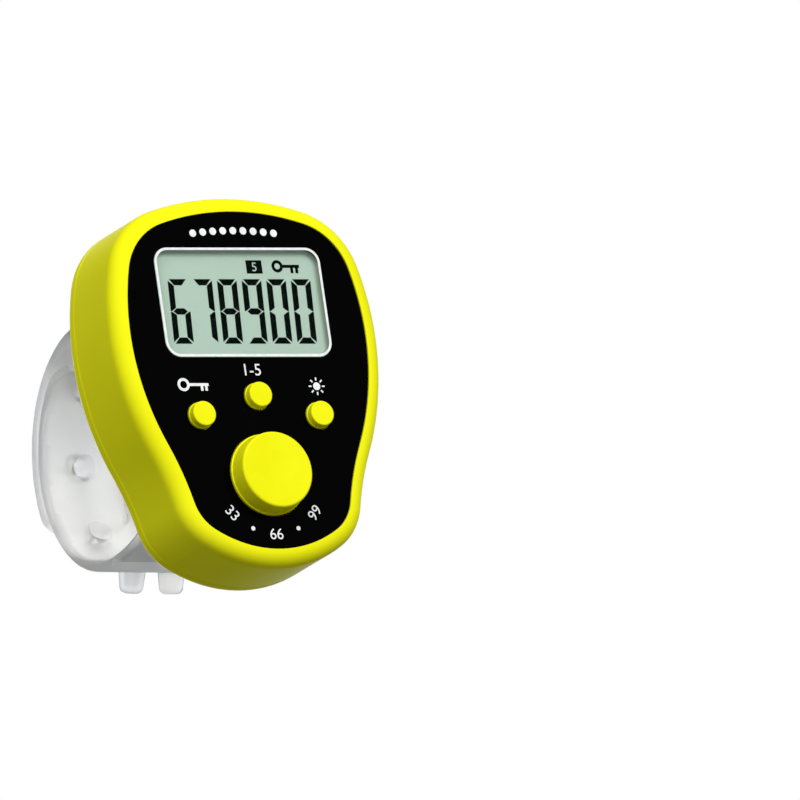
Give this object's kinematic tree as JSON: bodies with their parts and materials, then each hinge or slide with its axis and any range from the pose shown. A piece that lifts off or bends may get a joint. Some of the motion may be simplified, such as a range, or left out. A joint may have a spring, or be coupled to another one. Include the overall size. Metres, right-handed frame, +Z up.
{
  "type": "digital tasbih counter",
  "caption": "Finger-worn digital tasbih counter: tapered yellow case, black face with an LCD window, large count button, small side buttons and a translucent pegged strap.",
  "frame": {"origin": "middle of the finger loop, on the loop's axis and halfway across the strap", "axes": "+X to the right as the display is read, +Y from the face to the back, +Z up the display"},
  "size_m": [0.0314, 0.043, 0.04],
  "materials": {
    "case_yellow": "semi-gloss moulded ABS",
    "button_yellow": "satin moulded ABS",
    "panel_black": "glossy printed acrylic",
    "window_clear": "clear acrylic",
    "lcd_film": "grey-green polariser film",
    "lcd_glass": "polished glass",
    "reflector_silver": "satin silver film",
    "light_guide": "frosted acrylic",
    "led_white": "phosphor resin",
    "zebra_rubber": "layered silicone",
    "board_green": "solder mask on glass fibre",
    "chip_epoxy": "cured epoxy",
    "chip_ceramic": "ceramic",
    "keypad_rubber": "silicone",
    "carbon_pill": "conductive rubber",
    "cell_steel": "nickel plated steel",
    "contact_metal": "nickel plated spring steel",
    "screw_steel": "zinc plated steel",
    "strap_clear": "translucent soft vinyl"
  },
  "bodies": {
    "case": {"front_case": "case_yellow", "rear_cover": "case_yellow", "battery_door": "case_yellow", "face_panel": "panel_black", "display_window": "window_clear", "lcd_polariser": "lcd_film", "lcd_front_glass": "lcd_glass", "lcd_rear_glass": "lcd_glass", "lcd_reflector": "reflector_silver", "light_guide": "light_guide", "backlight_leds": "led_white", "zebra_connector": "zebra_rubber", "circuit_board": "board_green", "chip_blob": "chip_epoxy", "chip_components": "chip_ceramic", "keypad": "keypad_rubber", "left_cell": "cell_steel", "right_cell": "cell_steel", "positive_contact": "contact_metal", "negative_contact": "contact_metal", "link_contact": "contact_metal", "case_screws": "screw_steel", "door_screw": "screw_steel", "strap_upper": "strap_clear", "strap_lower": "strap_clear"},
    "count_button": {"count_button": "button_yellow", "count_pill": "carbon_pill"},
    "lock_button": {"lock_button": "button_yellow", "lock_pill": "carbon_pill"},
    "channel_button": {"channel_button": "button_yellow", "channel_pill": "carbon_pill"},
    "light_button": {"light_button": "button_yellow", "light_pill": "carbon_pill"}
  },
  "joints": [
    {"name": "count_press", "type": "slide", "parent": "case", "child": "count_button", "axis": [0, 1, 0], "range_m": [0, 0.001], "stiffness_N_per_m": 800, "springref_m": -0.0004, "deforming": ["keypad"]},
    {"name": "lock_press", "type": "slide", "parent": "case", "child": "lock_button", "axis": [0, 1, 0], "range_m": [0, 0.0005], "stiffness_N_per_m": 1000, "springref_m": -0.0004, "deforming": ["keypad"]},
    {"name": "channel_press", "type": "slide", "parent": "case", "child": "channel_button", "axis": [0, 1, 0], "range_m": [0, 0.0005], "stiffness_N_per_m": 1000, "springref_m": -0.0004, "deforming": ["keypad"]},
    {"name": "light_press", "type": "slide", "parent": "case", "child": "light_button", "axis": [0, 1, 0], "range_m": [0, 0.0005], "stiffness_N_per_m": 1000, "springref_m": -0.0004, "deforming": ["keypad"]}
  ]
}
